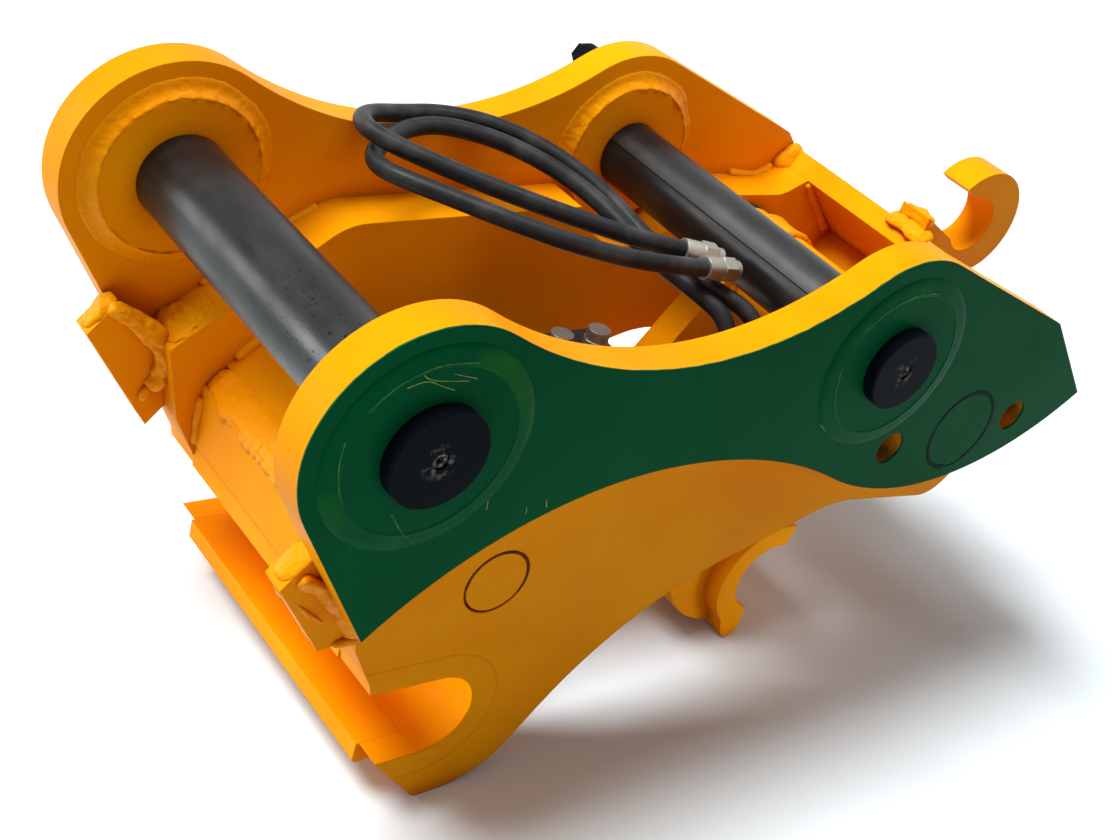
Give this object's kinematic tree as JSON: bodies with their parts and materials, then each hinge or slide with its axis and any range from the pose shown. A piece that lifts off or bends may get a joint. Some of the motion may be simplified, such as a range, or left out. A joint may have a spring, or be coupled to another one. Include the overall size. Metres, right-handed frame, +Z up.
{
  "type": "hydraulic quick coupler",
  "caption": "Pin-grabber coupler that fits between an excavator's stick and its bucket, with a fixed front jaw and a hook moved by a hydraulic cylinder.",
  "frame": {"origin": "on the stick pin's axis, at the coupler's mid-width", "axes": "+X from the stick pin to the link pin, +Y along the pins to the flag side, +Z up, away from the bucket"},
  "size_m": [0.998, 0.4863, 0.525],
  "materials": {
    "yellow_paint": "gloss",
    "green_paint": "gloss",
    "dark_steel": "dark, phosphated",
    "cap_black": "satin",
    "zinc_steel": "zinc plated",
    "cylinder_black": "satin",
    "bronze": "satin",
    "chrome": "polished",
    "seal_rubber": "matte",
    "hose_rubber": "satin"
  },
  "bodies": {
    "frame": {"upper_plate_near": "green_paint", "upper_plate_far": "yellow_paint", "lower_plate_near": "yellow_paint", "lower_plate_far": "yellow_paint", "stick_boss_near": "green_paint", "stick_boss_far": "yellow_paint", "link_boss_near": "green_paint", "link_boss_far": "yellow_paint", "boss_weld_rings": "yellow_paint", "stick_pin": "dark_steel", "link_pin": "dark_steel", "stick_pin_cap": "cap_black", "link_pin_cap": "cap_black", "pin_cap_screws": "zinc_steel", "stick_pin_flag": "yellow_paint", "link_pin_flag": "yellow_paint", "pin_flag_bolts": "yellow_paint", "jaw_plate": "yellow_paint", "jaw_lip": "yellow_paint", "front_wall": "yellow_paint", "front_top_plate": "yellow_paint", "front_weld_bead": "yellow_paint", "stop_plate_near": "yellow_paint", "stop_plate_far": "yellow_paint", "rear_wall": "yellow_paint", "rear_guard_plate": "yellow_paint", "lifting_hook": "yellow_paint", "hook_shaft": "dark_steel", "hook_shaft_plugs": "green_paint", "hook_thrust_washers": "dark_steel", "cylinder_lug_near": "yellow_paint", "cylinder_lug_far": "yellow_paint", "base_pin": "dark_steel", "base_pin_plugs": "yellow_paint", "hose_bracket": "yellow_paint", "bulkhead_fittings": "zinc_steel", "open_hose": "hose_rubber", "close_hose": "hose_rubber", "hose_end_fittings": "zinc_steel"},
    "hook": {"hook_hub": "yellow_paint", "hook_bushes": "bronze", "hook_cheek_near": "yellow_paint", "hook_cheek_far": "yellow_paint", "hook_saddle": "yellow_paint", "hook_front_plate": "yellow_paint", "rod_pin": "dark_steel", "rod_pin_rings": "zinc_steel"},
    "barrel": {"base_eye": "cylinder_black", "cylinder_barrel": "cylinder_black", "cylinder_head": "cylinder_black", "rod_guide": "bronze", "rod_wiper": "seal_rubber", "check_valve_block": "cylinder_black", "port_fittings": "zinc_steel"},
    "rod": {"piston": "dark_steel", "piston_seals": "seal_rubber", "piston_rod": "chrome", "rod_eye": "cylinder_black"}
  },
  "joints": [
    {"name": "hook_swing", "type": "hinge", "parent": "frame", "child": "hook", "pos_m": [0.638, 0, -0.1], "axis": [0, -1, 0], "range_deg": [-18, 6]},
    {"name": "cylinder_swing", "type": "hinge", "parent": "frame", "child": "barrel", "pos_m": [0.13, 0, -0.183], "axis": [0, -1, 0], "range_deg": [-1, 2]},
    {"name": "rod_slide", "type": "slide", "parent": "barrel", "child": "rod", "axis": [0.9997, 0, -0.0255], "range_m": [-0.035, 0.015]}
  ],
  "couplings": [
    {"joint": "cylinder_swing", "follows": "hook_swing", "ratio": -0.099},
    {"joint": "rod_slide", "follows": "hook_swing", "m_per_rad": 0.089}
  ]
}
